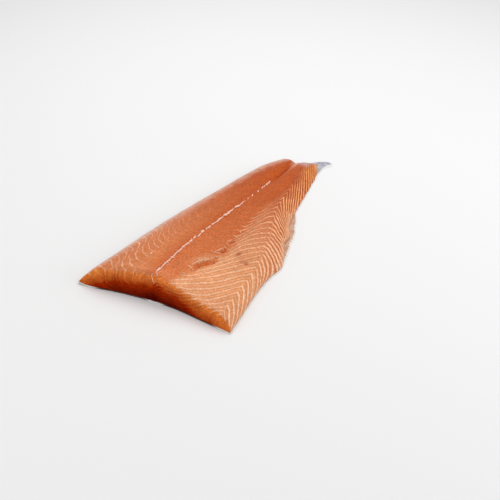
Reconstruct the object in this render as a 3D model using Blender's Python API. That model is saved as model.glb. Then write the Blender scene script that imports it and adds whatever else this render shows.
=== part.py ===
"""Salmon fillet, tail half, lying skin side down: a Blender script.

It runs with blender --background --python part.py, or from Blender's text editor.
Metres, +Z up. +X runs from the thick cut end to the tail, +Y is the back of the fish, -Y its belly,
and z = 0 is the surface that the skin lies on. The origin is under the middle of the whole fillet.
"""

import bmesh
import bpy
import numpy as np

# Colours and roughness of the two layers
FLESH_COLOUR = (0.72, 0.27, 0.11)
FLESH_ROUGHNESS = 0.35
SKIN_COLOUR = (0.45, 0.45, 0.48)
SKIN_ROUGHNESS = 0.40
SHARP_EDGE_ANGLE = 50

# The two layers
SKIN_THICKNESS = 0.0010
LAYER_GAP = 0.0003
SKIN_OVERHANG = 0.0006

# The skin curls up under the back of the fish: how far in from the edge, as a share of the width,
# and how high at the edge, as (x, height)
CURL_RUN_SHARE = 0.10
CURL_RISE = ((-0.1750, 0.0012), (-0.1350, 0.0034), (0.0000, 0.0030), (0.1500, 0.0010))

# Outline of the flesh seen from above: (x, y) along its belly edge and along its back edge
BELLY_EDGE = (
    (-0.1630, -0.0819),
    (-0.1340, -0.0774),
    (-0.0890, -0.0706),
    (-0.0680, -0.0696),
    (-0.0480, -0.0703),
    (-0.0240, -0.0598),
    (-0.0110, -0.0530),
    (0.0050, -0.0505),
    (0.0180, -0.0425),
    (0.0400, -0.0351),
    (0.0580, -0.0310),
    (0.0980, -0.0228),
    (0.1310, -0.0155),
    (0.1480, -0.0092),
    (0.1630, -0.0010),
)
BACK_EDGE = (
    (-0.1745, 0.0821),
    (-0.1490, 0.0789),
    (-0.1060, 0.0744),
    (-0.0600, 0.0710),
    (-0.0110, 0.0656),
    (0.0380, 0.0587),
    (0.0850, 0.0524),
    (0.1100, 0.0486),
    (0.1330, 0.0406),
    (0.1480, 0.0335),
)

# Place along the fillet of its two ends: (share of the width from the belly edge, x)
FRONT_CUT = (
    (0.00, -0.1628),
    (0.20, -0.1605),
    (0.40, -0.1588),
    (0.60, -0.1615),
    (0.78, -0.1668),
    (0.90, -0.1722),
    (0.96, -0.1742),
    (1.00, -0.1742),
)
TAIL_END = ((0.0, 0.1630), (0.25, 0.1560), (0.55, 0.1490), (1.0, 0.1470))

# Height of the flesh above the skin, before its edges are rounded: one row of heights for each
# station along the fillet, at these shares of the width from the belly edge
SHARES = (0.0, 0.14, 0.27, 0.40, 0.53, 0.66, 0.83, 1.0)
HEIGHTS = (
    (-0.162, (0.0140, 0.0155, 0.0180, 0.0230, 0.0285, 0.0275, 0.0230, 0.0150)),
    (-0.060, (0.0115, 0.0145, 0.0175, 0.0205, 0.0225, 0.0235, 0.0205, 0.0150)),
    (0.020, (0.0085, 0.0125, 0.0155, 0.0175, 0.0180, 0.0195, 0.0175, 0.0120)),
    (0.090, (0.0055, 0.0080, 0.0105, 0.0120, 0.0115, 0.0145, 0.0140, 0.0095)),
    (0.148, (0.0028, 0.0045, 0.0060, 0.0070, 0.0060, 0.0072, 0.0074, 0.0055)),
)

# Rounding of the four edges, as a share of the width or a length, and how square each one is
BACK_ROUND_SHARE = 0.13
BELLY_ROUND_SHARE = ((-0.163, 0.09), (-0.060, 0.15), (0.040, 0.22), (0.160, 0.25))
FRONT_ROUND = ((0.0, 0.006), (0.5, 0.008), (1.0, 0.016))
TAIL_ROUND = 0.009
BACK_SQUARENESS = 1.8
BELLY_SQUARENESS = 2.0
FRONT_SQUARENESS = 2.3
TAIL_SQUARENESS = 2.0

# The furrow along the middle line, which opens into a groove towards the tail
MIDDLE_LINE = (
    (-0.163, 0.0038),
    (-0.120, 0.0088),
    (-0.060, 0.0110),
    (0.010, 0.0138),
    (0.110, 0.0148),
    (0.150, 0.0195),
)
GROOVE_DEPTH = ((-0.163, 0.0004), (0.060, 0.0004), (0.100, 0.0022), (0.150, 0.0030))
GROOVE_HALF_WIDTH = 0.0032

# Outline of the skin where it shows beyond the flesh: along the belly, with a loose frayed edge
# half way, and round the corner of bare skin at the tail, as (share of the width, x). The fray is
# two waves, of so many radians a metre, one this far ahead of the other
SKIN_BELLY_EDGE = (
    (-0.1635, -0.0827),
    (-0.1340, -0.0781),
    (-0.0880, -0.0713),
    (-0.0690, -0.0705),
    (-0.0545, -0.0728),
    (-0.0320, -0.0671),
    (-0.0060, -0.0590),
    (0.0155, -0.0518),
    (0.0280, -0.0455),
    (0.0365, -0.0420),
    (0.0475, -0.0356),
    (0.0565, -0.0318),
    (0.0700, -0.0297),
    (0.0980, -0.0236),
    (0.1300, -0.0163),
    (0.1460, -0.0142),
    (0.1540, -0.0133),
    (0.1600, -0.0145),
    (0.1670, -0.0184),
)
FRAYED = (-0.055, 0.062)
FRAY_DEPTH = 0.0005
FRAY_WAVES = (1150, 1960)
FRAY_LEAD = 1.0
TAIL_SKIN_END = (
    (0.00, 0.1672),
    (0.05, 0.1702),
    (0.14, 0.1732),
    (0.25, 0.1749),
    (0.46, 0.1680),
    (0.53, 0.1600),
    (0.62, 0.1527),
    (0.82, 0.1492),
    (1.00, 0.1482),
)

# Tears where the flakes part: (x, y) along each mouth, its width, and its depth. Each one narrows to
# its ends, and its bottom lies this share of the depth further to the back than its mouth
TEARS = (
    (((-0.124, -0.0165), (-0.1155, -0.018), (-0.107, -0.0226), (-0.093, -0.0265)), 0.0030, 0.0036),
    (((-0.087, -0.0190), (-0.0825, -0.0222), (-0.0775, -0.0243)), 0.0020, 0.0024),
    (((-0.064, -0.0205), (-0.0600, -0.0213), (-0.0545, -0.0223)), 0.0018, 0.0020),
)
TEAR_LEAN = 0.45
TEAR_ENDS = (0.06, 0.94)
TEAR_CLEARANCE = 0.0020

# How finely each shape is drawn: columns run across the fillet and rows along it. The undersides
# take one row of faces for this many rows
COLUMNS = 38
EDGE_CROWDING = 0.80
ROWS_AT_FRONT = 6
ROWS_ALONG = 64
ROWS_AT_TAIL = 5
ROWS_A_FACE_BELOW = 5
SKIN_ROWS = 91
SKIN_ROWS_A_FACE = 6
SKIN_FLAT_SHARES = (0.0, 0.05, 0.14, 0.25, 0.36, 0.46, 0.53, 0.62, 0.72, 0.82)
SKIN_CURL_STEPS = (1.2, 0.9, 0.65, 0.45, 0.28, 0.13, 0.0)
SKIN_WIDE_COLUMNS = (0, 3, 8)
TEAR_STATIONS = 9


def spline(places, values, at):
    """The smooth curve through values at the rising places, read at the places at.

    Each span is a cubic whose slope at a knot is that of the parabola through the knot and its
    neighbours. Beyond the ends it runs on straight. values may hold an array for each place.
    """
    places = np.asarray(places, float)
    at = np.asarray(at, float)
    values = np.array([np.broadcast_to(value, at.shape) for value in values], float)
    spans = np.diff(places).reshape((-1,) + (1,) * at.ndim)
    chords = np.diff(values, axis=0) / spans
    slopes = np.concatenate(
        [
            chords[:1],
            (chords[:-1] * spans[1:] + chords[1:] * spans[:-1]) / (spans[:-1] + spans[1:]),
            chords[-1:],
        ]
    )
    inside = np.clip(at, places[0], places[-1])
    span = np.clip(np.searchsorted(places, inside, side="right") - 1, 0, len(places) - 2)
    length = np.diff(places)[span]
    t = (inside - places[span]) / length

    def pick(array, index):
        return np.take_along_axis(array, index[None], 0)[0]

    start, end = pick(values, span), pick(values, span + 1)
    start_slope, end_slope = pick(slopes, span) * length, pick(slopes, span + 1) * length
    curve = (
        start * (1 + 2 * t) * (1 - t) ** 2
        + start_slope * t * (1 - t) ** 2
        + end * t * t * (3 - 2 * t)
        - end_slope * t * t * (1 - t)
    )
    beyond = np.where(at < places[0], slopes[0], slopes[-1])
    return curve + beyond * (at - inside)


def along(knots, at):
    """The smooth curve through a list of (place, value) knots."""
    places, values = zip(*knots)
    return spline(places, values, at)


def rounded(distance, radius, squareness):
    """Height share of a rounded edge: 0 at its foot, 1 from one radius in, and upright at the foot."""
    inner = np.clip(1 - distance / radius, 0, 1)
    return (1 - inner**squareness) ** (1 / squareness)


def seat(x, y):
    """Height of the skin's underside: flat on the table, curling up towards the back edge."""
    back = along(BACK_EDGE, x)
    run = CURL_RUN_SHARE * (back - along(BELLY_EDGE, x))
    inner = np.clip(1 - (back - y) / run, 0, None)
    return along(CURL_RISE, x) * inner**2


def flesh_top(x, y, share):
    """Height of the flesh's upper face."""
    stations, rows = zip(*HEIGHTS)
    columns = [spline(stations, column, x) for column in zip(*rows)]
    height = spline(SHARES, columns, share)
    aside = (y - along(MIDDLE_LINE, x)) / GROOVE_HALF_WIDTH
    height = height - along(GROOVE_DEPTH, x) * np.exp(-(aside**2))
    belly_round = along(BELLY_ROUND_SHARE, x)
    height = height * rounded(share, belly_round, BELLY_SQUARENESS)
    height = height * rounded(1 - share, BACK_ROUND_SHARE, BACK_SQUARENESS)
    height = height * rounded(x - along(FRONT_CUT, share), along(FRONT_ROUND, share), FRONT_SQUARENESS)
    height = height * rounded(along(TAIL_END, share) - x, TAIL_ROUND, TAIL_SQUARENESS)
    return seat(x, y) + SKIN_THICKNESS + LAYER_GAP + height


def rim_steps(count):
    """Steps from 0 to 1 that crowd at 0, for the upright foot of a rounded edge."""
    return 1 - np.cos(np.linspace(0, np.pi / 2, count + 1))


def flesh_grid():
    """x, y and share of the width of each point of the flesh's upper face, row by row to the tail."""
    even = np.linspace(0, 1, COLUMNS)
    share = even - EDGE_CROWDING * np.sin(2 * np.pi * even) / (2 * np.pi)
    front = along(FRONT_CUT, share)
    front_round = along(FRONT_ROUND, share)
    tail = along(TAIL_END, share)
    at_front = front + front_round * rim_steps(ROWS_AT_FRONT)[:, None]
    at_tail = tail - TAIL_ROUND * rim_steps(ROWS_AT_TAIL)[::-1, None]
    between = np.linspace(0, 1, ROWS_ALONG + 1)[1:-1, None]
    middle = at_front[-1] + (at_tail[0] - at_front[-1]) * between
    x = np.concatenate([at_front, middle, at_tail])
    share = np.broadcast_to(share, x.shape)
    belly = along(BELLY_EDGE, x)
    y = belly + (along(BACK_EDGE, x) - belly) * share
    return x, y, share


def grid_faces(rows, columns):
    """Four-sided faces over a grid of points, facing up where rows run to +X and columns to +Y."""
    corner = np.arange(rows * columns).reshape(rows, columns)
    faces = [corner[:-1, :-1], corner[1:, :-1], corner[1:, 1:], corner[:-1, 1:]]
    return np.stack(faces, -1).reshape(-1, 4).tolist()


def coarse_cells(rows, columns, some_rows, some_columns):
    """Index loops (row, column) that cover a grid with few faces, keeping every point of its rim."""
    for top, low in zip(some_rows[:-1], some_rows[1:]):
        for left, right in zip(some_columns[:-1], some_columns[1:]):
            loop = []
            near = range(left, right) if top == 0 else (left,)
            loop += [(top, column) for column in near]
            outer = range(top, low) if right == columns - 1 else (top,)
            loop += [(row, right) for row in outer]
            far = range(right, left, -1) if low == rows - 1 else (right,)
            loop += [(low, column) for column in far]
            inner = range(low, top, -1) if left == 0 else (low,)
            loop += [(row, left) for row in inner]
            yield loop


def object_of(name, points, faces, colour, roughness):
    """A mesh object with its own Principled material, its faces turned outwards."""
    mesh = bpy.data.meshes.new(name)
    mesh.from_pydata(points, [], faces)
    shape = bmesh.new()
    shape.from_mesh(mesh)
    bmesh.ops.delete(shape, geom=[v for v in shape.verts if not v.link_faces], context="VERTS")
    bmesh.ops.triangulate(shape, faces=[face for face in shape.faces if len(face.verts) > 4])
    shape.to_mesh(mesh)
    shape.free()
    mesh.shade_smooth()
    mesh.set_sharp_from_angle(angle=np.radians(SHARP_EDGE_ANGLE))
    material = bpy.data.materials.new(name)
    material.use_nodes = True
    shader = material.node_tree.nodes["Principled BSDF"]
    shader.inputs["Base Color"].default_value = (*colour, 1.0)
    shader.inputs["Roughness"].default_value = roughness
    shader.inputs["Metallic"].default_value = 0.0
    mesh.materials.append(material)
    made = bpy.data.objects.new(name, mesh)
    bpy.context.scene.collection.objects.link(made)
    return made


def flesh():
    """The block of flesh: a domed upper face over an underside that follows the skin."""
    x, y, share = flesh_grid()
    rows, columns = x.shape
    top = np.stack([x, y, flesh_top(x, y, share)], -1).reshape(-1, 3)
    below = np.stack([x, y, seat(x, y) + SKIN_THICKNESS + LAYER_GAP], -1).reshape(-1, 3)
    points = np.concatenate([top, below]).tolist()
    faces = grid_faces(rows, columns)
    curl_start = 1 - SKIN_CURL_STEPS[0] * CURL_RUN_SHARE
    curl_columns = [column for column in range(columns) if share[0, column] > curl_start]
    some_columns = [0, columns // 4, columns // 2, *curl_columns]
    some_rows = [*range(0, rows - 1, ROWS_A_FACE_BELOW), rows - 1]

    def index(row, column):
        on_rim = row in (0, rows - 1) or column in (0, columns - 1)
        return row * columns + column + (0 if on_rim else rows * columns)

    for loop in coarse_cells(rows, columns, some_rows, some_columns):
        faces.append([index(row, column) for row, column in loop])
    return object_of("flesh", points, faces, FLESH_COLOUR, FLESH_ROUGHNESS)


def skin_grid():
    """x and y of the points of the skin sheet, which reaches a little beyond the flesh all round."""
    share = np.concatenate([SKIN_FLAT_SHARES, 1 - CURL_RUN_SHARE * np.array(SKIN_CURL_STEPS)])
    front = along(FRONT_CUT, share) - SKIN_OVERHANG
    tail = along(TAIL_SKIN_END, share)
    x = front + (tail - front) * np.linspace(0, 1, SKIN_ROWS)[:, None]
    middle = (FRAYED[0] + FRAYED[1]) / 2
    reach = (FRAYED[1] - FRAYED[0]) / 2
    fading = np.clip(1 - ((x - middle) / reach) ** 2, 0, 1)
    fray = np.sin(FRAY_WAVES[0] * x) + np.sin(FRAY_WAVES[1] * x + FRAY_LEAD)
    belly = along(SKIN_BELLY_EDGE, x) + FRAY_DEPTH * fading * fray
    back = along(BACK_EDGE, x) + SKIN_OVERHANG
    y = belly + (back - belly) * share
    return x, y


def skin():
    """The skin: one thin sheet under the whole fillet."""
    x, y = skin_grid()
    rows, columns = x.shape
    lower = np.stack([x, y, seat(x, y)], -1).reshape(-1, 3)
    upper = lower + (0, 0, SKIN_THICKNESS)
    points = np.concatenate([upper, lower]).tolist()
    some_rows = [*range(0, rows - 1, SKIN_ROWS_A_FACE), rows - 1]
    some_columns = [*SKIN_WIDE_COLUMNS, *range(len(SKIN_FLAT_SHARES), columns)]
    faces = []
    for loop in coarse_cells(rows, columns, some_rows, some_columns):
        corners = [row * columns + column for row, column in loop]
        faces.append(corners[::-1])
        faces.append([corner + rows * columns for corner in corners])
    rim = [(0, c) for c in range(columns - 1)]
    rim += [(r, columns - 1) for r in range(rows - 1)]
    rim += [(rows - 1, c) for c in range(columns - 1, 0, -1)]
    rim += [(r, 0) for r in range(rows - 1, 0, -1)]
    for (row, column), (next_row, next_column) in zip(rim, rim[1:] + rim[:1]):
        here = row * columns + column
        there = next_row * columns + next_column
        faces.append([here, there, there + rows * columns, here + rows * columns])
    return object_of("skin", points, faces, SKIN_COLOUR, SKIN_ROUGHNESS)


def tear(name, mouth, width, depth):
    """A cutter for one tear: a wedge along its mouth, tapering to both ends and leaning to the back."""
    places = np.array(mouth)
    shares = np.linspace(0, 1, len(mouth))
    t = np.linspace(0, 1, TEAR_STATIONS)
    x, y = spline(shares, places[:, 0], t), spline(shares, places[:, 1], t)
    belly = along(BELLY_EDGE, x)
    z = flesh_top(x, y, (y - belly) / (along(BACK_EDGE, x) - belly))
    line = np.stack([x, y, z], -1)
    run = np.gradient(line[:, :2], axis=0)
    side = np.stack([-run[:, 1], run[:, 0], 0 * x], -1) / np.linalg.norm(run, axis=1)[:, None]
    size = np.sin(np.pi * np.linspace(*TEAR_ENDS, TEAR_STATIONS))[:, None]
    up = np.array([0, 0, 1])
    opening = side * width / 2 * (size + TEAR_CLEARANCE / depth)
    base = line + side * depth * TEAR_LEAN * size - up * depth * size
    lips = [line + sign * opening + up * TEAR_CLEARANCE for sign in (1, -1)]
    points = np.stack([base, *lips], 1).reshape(-1, 3).tolist()
    last = 3 * (TEAR_STATIONS - 1)
    faces = [[0, 2, 1], [last, last + 1, last + 2]]
    for i in range(0, last, 3):
        for a, b in ((0, 1), (1, 2), (2, 0)):
            faces.append([i + a, i + b, i + b + 3, i + a + 3])
    cutter = object_of(name, points, faces, FLESH_COLOUR, FLESH_ROUGHNESS)
    cutter.hide_render = True
    cutter.display_type = "WIRE"
    return cutter


def main():
    for old in list(bpy.data.objects):
        bpy.data.objects.remove(old)
    block = flesh()
    skin()
    for number, (mouth, width, depth) in enumerate(TEARS, 1):
        cut = block.modifiers.new(f"tear_{number}", "BOOLEAN")
        cut.operation = "DIFFERENCE"
        cut.solver = "EXACT"
        cut.object = tear(f"tear_{number}", mouth, width, depth)


main()
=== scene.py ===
"""Looks of a raw salmon fillet: its flesh with fat lines, its skin, and the line of cut pin bones.

Metres, +Z up. +X runs from the thick cut end to the tail and +Y is the back of the fish. Lengths
inside the pattern functions are in millimetres, as their names say.
"""

import bpy
import numpy as np
from bpy.props import FloatProperty, FloatVectorProperty, PointerProperty
from mathutils import Matrix, Vector


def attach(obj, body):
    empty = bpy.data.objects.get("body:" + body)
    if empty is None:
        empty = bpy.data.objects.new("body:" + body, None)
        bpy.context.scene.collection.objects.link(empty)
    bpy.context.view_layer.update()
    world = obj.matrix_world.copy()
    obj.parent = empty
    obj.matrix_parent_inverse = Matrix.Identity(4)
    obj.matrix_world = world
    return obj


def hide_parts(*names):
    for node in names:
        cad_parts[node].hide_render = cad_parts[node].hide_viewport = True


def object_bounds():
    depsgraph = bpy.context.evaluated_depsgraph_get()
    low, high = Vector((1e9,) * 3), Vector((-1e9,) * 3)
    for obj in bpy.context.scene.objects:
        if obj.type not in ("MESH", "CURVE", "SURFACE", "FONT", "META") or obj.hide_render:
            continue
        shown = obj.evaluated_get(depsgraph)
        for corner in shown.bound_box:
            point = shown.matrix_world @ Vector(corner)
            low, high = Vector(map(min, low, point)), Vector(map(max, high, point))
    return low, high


bl_info = {
    "name": "Salmon fillet",
    "version": (1, 0, 0),
    "blender": (4, 5, 0),
    "location": "3D View > Sidebar > Fillet",
    "description": "Makes the flesh, skin and pin bone line of a raw salmon fillet",
    "category": "Object",
}

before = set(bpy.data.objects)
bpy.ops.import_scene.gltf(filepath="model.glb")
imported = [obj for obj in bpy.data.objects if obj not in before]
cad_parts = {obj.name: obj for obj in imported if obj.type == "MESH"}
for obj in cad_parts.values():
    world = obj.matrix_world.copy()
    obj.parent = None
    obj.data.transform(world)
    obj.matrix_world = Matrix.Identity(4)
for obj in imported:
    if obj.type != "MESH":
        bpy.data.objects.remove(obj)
FRAME_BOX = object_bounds()

# Shape, as in the solid model
SKIN_THICKNESS = 0.0010
LAYER_GAP = 0.0003
SKIN_OVERHANG = 0.0006
CURL_RUN_SHARE = 0.10
CURL_RISE = ((-0.1750, 0.0012), (-0.1350, 0.0034), (0.0000, 0.0030), (0.1500, 0.0010))
BELLY_EDGE = (
    (-0.1630, -0.0819), (-0.1340, -0.0774), (-0.0890, -0.0706), (-0.0680, -0.0696), (-0.0480, -0.0703),
    (-0.0240, -0.0598), (-0.0110, -0.0530), (0.0050, -0.0505), (0.0180, -0.0425), (0.0400, -0.0351),
    (0.0580, -0.0310), (0.0980, -0.0228), (0.1310, -0.0155), (0.1480, -0.0092), (0.1630, -0.0010),
)
BACK_EDGE = (
    (-0.1745, 0.0821), (-0.1490, 0.0789), (-0.1060, 0.0744), (-0.0600, 0.0710), (-0.0110, 0.0656),
    (0.0380, 0.0587), (0.0850, 0.0524), (0.1100, 0.0486), (0.1330, 0.0406), (0.1480, 0.0335),
)
FRONT_CUT = (
    (0.00, -0.1628), (0.20, -0.1605), (0.40, -0.1588), (0.60, -0.1615), (0.78, -0.1668),
    (0.90, -0.1722), (0.96, -0.1742), (1.00, -0.1742),
)
TAIL_END = ((0.0, 0.1630), (0.25, 0.1560), (0.55, 0.1490), (1.0, 0.1470))
SHARES = (0.0, 0.14, 0.27, 0.40, 0.53, 0.66, 0.83, 1.0)
HEIGHTS = (
    (-0.162, (0.0140, 0.0155, 0.0180, 0.0230, 0.0285, 0.0275, 0.0230, 0.0150)),
    (-0.060, (0.0115, 0.0145, 0.0175, 0.0205, 0.0225, 0.0235, 0.0205, 0.0150)),
    (0.020, (0.0085, 0.0125, 0.0155, 0.0175, 0.0180, 0.0195, 0.0175, 0.0120)),
    (0.090, (0.0055, 0.0080, 0.0105, 0.0120, 0.0115, 0.0145, 0.0140, 0.0095)),
    (0.148, (0.0028, 0.0045, 0.0060, 0.0070, 0.0060, 0.0072, 0.0074, 0.0055)),
)
BACK_ROUND_SHARE = 0.13
BELLY_ROUND_SHARE = ((-0.163, 0.09), (-0.060, 0.15), (0.040, 0.22), (0.160, 0.25))
FRONT_ROUND = ((0.0, 0.006), (0.5, 0.008), (1.0, 0.016))
TAIL_ROUND = 0.009
BACK_SQUARENESS = 1.8
BELLY_SQUARENESS = 2.0
FRONT_SQUARENESS = 2.3
TAIL_SQUARENESS = 2.0
MIDDLE_LINE = (
    (-0.163, 0.0038), (-0.120, 0.0088), (-0.060, 0.0110), (0.010, 0.0138), (0.110, 0.0148),
    (0.150, 0.0195),
)
GROOVE_DEPTH = ((-0.163, 0.0004), (0.060, 0.0004), (0.100, 0.0022), (0.150, 0.0030))
GROOVE_HALF_WIDTH = 0.0032
SKIN_BELLY_EDGE = (
    (-0.1635, -0.0827), (-0.1340, -0.0781), (-0.0880, -0.0713), (-0.0690, -0.0705), (-0.0545, -0.0728),
    (-0.0320, -0.0671), (-0.0060, -0.0590), (0.0155, -0.0518), (0.0280, -0.0455), (0.0365, -0.0420),
    (0.0475, -0.0356), (0.0565, -0.0318), (0.0700, -0.0297), (0.0980, -0.0236), (0.1300, -0.0163),
    (0.1460, -0.0142), (0.1540, -0.0133), (0.1600, -0.0145), (0.1670, -0.0184),
)
# Where the bare skin's edge is frayed, along x
FRAYED = (-0.055, 0.062)
TAIL_SKIN_END = (
    (0.00, 0.1672), (0.05, 0.1702), (0.14, 0.1732), (0.25, 0.1749), (0.46, 0.1680), (0.53, 0.1600),
    (0.62, 0.1527), (0.82, 0.1492), (1.00, 0.1482),
)

# Tears, as (x, y) in mm along the bottom of each, its depth as a share of the deepest, and the width of
# its torn wall in mm
TEARS_MM = (
    (((-125, -17.2), (-117, -18.2), (-112, -20.2), (-107, -23.4), (-100, -25.8), (-93, -24.8)), 1.0, 6.5),
    (((-87.0, -19.6), (-83.0, -22.4), (-79.0, -23.7), (-74.5, -21.6)), 0.75, 4.4),
    (((-66.0, -19.8), (-61.0, -21.4), (-56.5, -21.0)), 0.55, 3.2),
)

# The line of cut pin bones, mm
PIN_PATH_MM = (
    (-155, 5.2), (-144, 6.2), (-133, 7.0), (-123, 7.9), (-112, 9.2), (-100, 10.1), (-60, 10.3),
    (0, 10.3), (25, 11.0), (55, 12.7), (78, 14.8), (95, 14.4), (110, 15.3), (140, 18.0),
)
# Its strands: where each begins and ends in x, how far aside it is there, and half its width, mm
PIN_STRANDS_MM = (
    (-155.0, -151.6, -3.2, 0.1, 0.35),
    (-152.4, -143.6, 0.1, 0.0, 0.84),
    (-144.4, -132.6, 0.0, 0.1, 0.70),
    (-133.6, -122.0, 0.0, 0.1, 0.74),
    (-123.0, -111.0, 0.0, 0.2, 0.72),
    (-112.0, -100.5, 0.1, -0.1, 0.66),
    (-102.5, -97.5, -0.2, 0.4, 0.80),
    (-98.5, -87.5, 0.2, -0.3, 0.62),
    (-88.5, -83.6, -1.6, 1.9, 0.42),
    (-83.0, -76.8, 0.1, 1.1, 0.66),
    (-77.5, -68.6, -1.6, 0.1, 0.46),
    (-69.0, -63.2, -0.2, 1.1, 0.85),
    (-61.6, -52.0, 0.1, -0.2, 0.80),
    (-50.2, -41.0, 0.6, -0.7, 0.90),
    (-42.0, -28.5, -0.4, 0.2, 0.82),
    (-27.5, -18.6, 0.7, -0.4, 1.20),
    (-20.0, -7.0, -0.1, 0.5, 1.20),
    (-5.2, 4.6, 0.6, -0.7, 1.00),
    (4.0, 16.4, -0.5, 0.2, 0.55),
    (20.4, 24.0, -0.1, 0.1, 0.50),
    (29.4, 34.2, -0.9, 1.0, 0.52),
    (42.4, 47.2, -1.4, 0.2, 0.42),
    (53.0, 58.6, -0.9, 0.6, 0.55),
    (57.4, 68.4, -0.4, -0.1, 0.38),
    (64.4, 78.4, -0.9, 0.2, 0.72),
)
# Short strands across it: x, how far each reaches above and below, and how far it leans, mm
BARBS_MM = (
    (-145.2, 1.6, 1.4, 1.6),
    (-145.0, 1.3, 1.5, -1.6),
    (-133.2, 1.8, 2.6, -0.8),
    (-122.6, 2.1, 2.5, -0.4),
    (-111.4, 1.4, 2.0, -0.6),
    (-93.6, 0.9, 2.2, -0.4),
    (-88.4, 1.4, 1.2, 1.2),
    (-65.2, 1.7, 0.8, 1.0),
)
# Pale torn edges, marks where fat lines begin and bright short lines: points (x, y), half the width, mm
THREADS_MM = (
    (((-154.2, 6.6), (-155.5, 7.6), (-156.9, 7.0), (-158.0, 5.0), (-158.55, 3.0)), 0.35),
    (((-99.6, -13.0), (-102.2, -15.4), (-101.2, -18.0), (-98.0, -20.0), (-93.0, -21.2)), 0.50),
    (((-118.5, -12.8), (-113.0, -12.2), (-108.5, -14.0), (-104.5, -17.2), (-100.5, -19.4)), 0.40),
    (((-106.8, -9.8), (-106.0, -13.2)), 0.35),
    (((-92.4, -20.2), (-91.4, -24.0), (-89.4, -25.6)), 0.45),
    (((-87.6, -11.6), (-87.2, -16.2), (-86.0, -20.6), (-83.4, -22.2)), 0.42),
    (((-84.5, -17.2), (-79.5, -18.2), (-76.0, -18.8)), 0.35),
    (((-73.0, -19.0), (-74.8, -22.8)), 0.45),
    (((-67.2, -17.4), (-67.9, -21.0)), 0.42),
    (((-66.0, -17.6), (-61.5, -18.2), (-58.0, -18.2)), 0.32),
    (((-50.4, -15.6), (-51.6, -19.4), (-52.0, -23.6)), 0.42),
    (((-39.4, -17.0), (-42.4, -19.4)), 0.45),
    (((-18.0, -17.2), (-19.8, -19.4)), 0.35),
    (((-135.6, -11.8), (-134.6, -14.8)), 0.45),
    (((-144.8, -12.4), (-145.0, -15.4)), 0.40),
    (((-123.6, -9.6), (-122.8, -12.8), (-124.8, -17.6)), 0.50),
    (((-129.4, 28.6), (-125.2, 29.8)), 0.65),
    (((-116.2, 29.4), (-113.8, 30.2)), 0.55),
    (((-94.6, 32.2), (-92.6, 33.0)), 0.40),
    (((-83.0, 32.2), (-81.6, 33.0)), 0.40),
)

# Pattern of the fat lines: the points of the chevrons lie on the first curve, and
# each fat line is counted where it crosses it
POINT_LINE_MM = (
    (-160, -70.5), (-113, -63.5), (-80, -58.0), (-55, -50.5), (-29, -43.0), (-1, -32.0), (21, -23.5),
    (34, -19.5), (44, -17.4), (60, -14.2), (76, -11.0), (90, -8.0), (105, -4.0), (131, 4.0),
    (160, 12.0),
)
LINE_COUNT = (
    (-157, 1), (-102, 6), (-70, 9), (-45, 12), (-11, 16), (21, 19), (34, 20.2), (44, 21.1), (60, 22.5),
    (76, 23.9), (105, 26.4), (131, 28.6),
)
# How far a fat line lies ahead of its point, towards the cut end, at these shares of the way from the
# middle line (0) to the line of points (1) and to the back edge (-1). The back side's part is the same
# for all lines, and the belly side has a row for each station
LINE_SHARES = (
    -1, -0.85, -0.75, -0.66, -0.61, -0.58, -0.52, -0.42, -0.30, -0.15, 0, 0.2, 0.35, 0.5, 0.7, 0.85, 1
)
BACK_LEAD_MM = (13, 17, 20.5, 25, 30, 36, 43, 49, 53, 51, 47)
LINE_LEAD_MM = (
    (-157, (69, 56, 45, 29.5, 15.5, 0)),
    (-90, (69, 57, 45, 29.5, 15.0, 0)),
    (-70, (69, 63, 48, 26.5, 12.5, 0)),
    (-30, (72, 66, 49, 19.0, 7.5, 0)),
    (10, (72, 66, 52, 22.0, 6.0, 0)),
    (45, (72, 68, 58, 38.0, 15.0, 0)),
    (130, (72, 68, 58, 40.0, 17.0, 0)),
)
# Past its point a line runs ahead again: by so much for each mm down the belly side, and its bend, for
# the line counted at each station
RETURN_SLOPE = (
    (-157, 0.42), (-80, 0.42), (-62, 0.25), (-54, 0.17), (-45, 0.33), (-37, 0.50), (-29, 0.40),
    (-11, 0.34), (-4, 0.54), (4, 0.90), (10, 1.05), (21, 1.42), (34, 1.90), (44, 2.24), (60, 2.75),
    (76, 3.30), (90, 3.70), (110, 4.00), (170, 4.00),
)
RETURN_BEND = (
    (-157, 0.030), (-110, 0.029), (-80, 0.026), (-62, 0.035), (-54, 0.034), (-45, 0.019), (-37, 0.011),
    (-29, 0.013), (-11, 0.011), (-4, 0.006), (4, 0.001), (10, -0.001), (21, -0.003), (34, -0.002),
    (60, 0.0), (130, 0.0),
)
# Below their points the lines divide: so many run on there for each line that reaches the points. That
# sets in between the first two counts and ends between the last two
ARM_SHARE = 1.23
ARM_COUNTS = (6, 9, 20.5, 22.5)
# How far below the line of points the rim of the belly side is reached, down its slope, mm
RIM_MM = 24
# The smooth band below the middle line: its width in mm along the fillet
SMOOTH_BAND_MM = (
    (-160, 17), (-140, 20), (-120, 27), (-95, 34), (-20, 31), (20, 26), (60, 23), (100, 17), (130, 17),
)

# How far each point of the chevrons reaches beyond a smooth turn, and how fast that falls off, mm
POINT_REACH_MM = 1.1
POINT_SPREAD_MM = 1.6
# How far the lines bend up where they begin, for each square mm above the border of the smooth band
HOOK_BEND = 0.10
# Beside the cut the belly side's lines turn up along it: where that begins, how far it reaches and how
# far a line has moved at the end of that reach, mm
TURN_START_MM = -147.0
TURN_REACH_MM = 10.0
TURN_SHIFT_MM = 8.0
# Ripples across the lines on the belly side of their points: their reach and length in mm
RIPPLE_MM = 0.8
RIPPLE_LENGTH_MM = 7.4

# Where the greyish film of the back edge begins, as a share across, along the fillet in mm. Its colour is
# partly the film and partly a painted sheen along the back silhouette
FILM_AND_SHEEN_START = ((-160, 0.93), (-100, 0.90), (-20, 0.87), (40, 0.83), (80, 0.80), (130, 0.75))

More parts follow.
